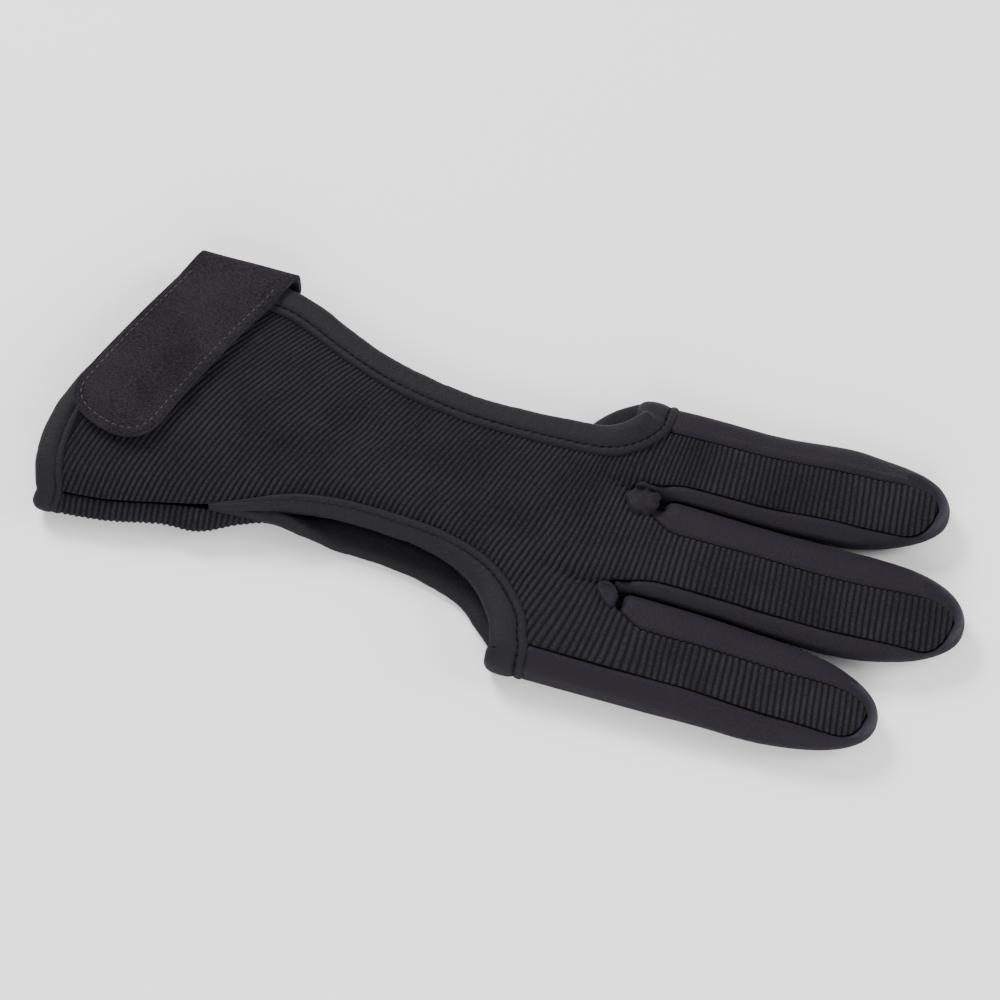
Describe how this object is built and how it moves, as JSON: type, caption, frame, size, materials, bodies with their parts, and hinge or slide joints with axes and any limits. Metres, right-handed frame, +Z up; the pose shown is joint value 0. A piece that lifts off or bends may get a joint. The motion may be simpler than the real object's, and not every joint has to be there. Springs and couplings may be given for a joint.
{
  "type": "three-finger archery glove, left hand",
  "caption": "Black archery glove with a ribbed stretch back, smooth leather-look fingers, bound openings and a suede wrist strap, lying back of the hand up.",
  "frame": {"origin": "middle of the floor under the glove as it lies", "axes": "+X from the cuff to the fingertips, +Y from the thumb side to the little-finger side, +Z up out of the back of the hand"},
  "size_m": [0.2316, 0.092, 0.0163],
  "materials": {
    "ribbed_fabric": "matte ribbed knit",
    "finger_leather": "matte fine grain",
    "binding_tape": "matte fine grain",
    "strap_suede": "napped suede"
  },
  "bodies": {
    "root": {"back_panel": "ribbed_fabric", "palm_panel": "ribbed_fabric", "index_finger_leather": "finger_leather", "middle_finger_leather": "finger_leather", "ring_finger_leather": "finger_leather", "index_middle_gusset": "finger_leather", "middle_ring_gusset": "finger_leather", "thumb_opening_binding": "binding_tape", "side_opening_binding": "binding_tape", "cuff_binding": "binding_tape", "wrist_strap": "strap_suede"}
  },
  "joints": []
}
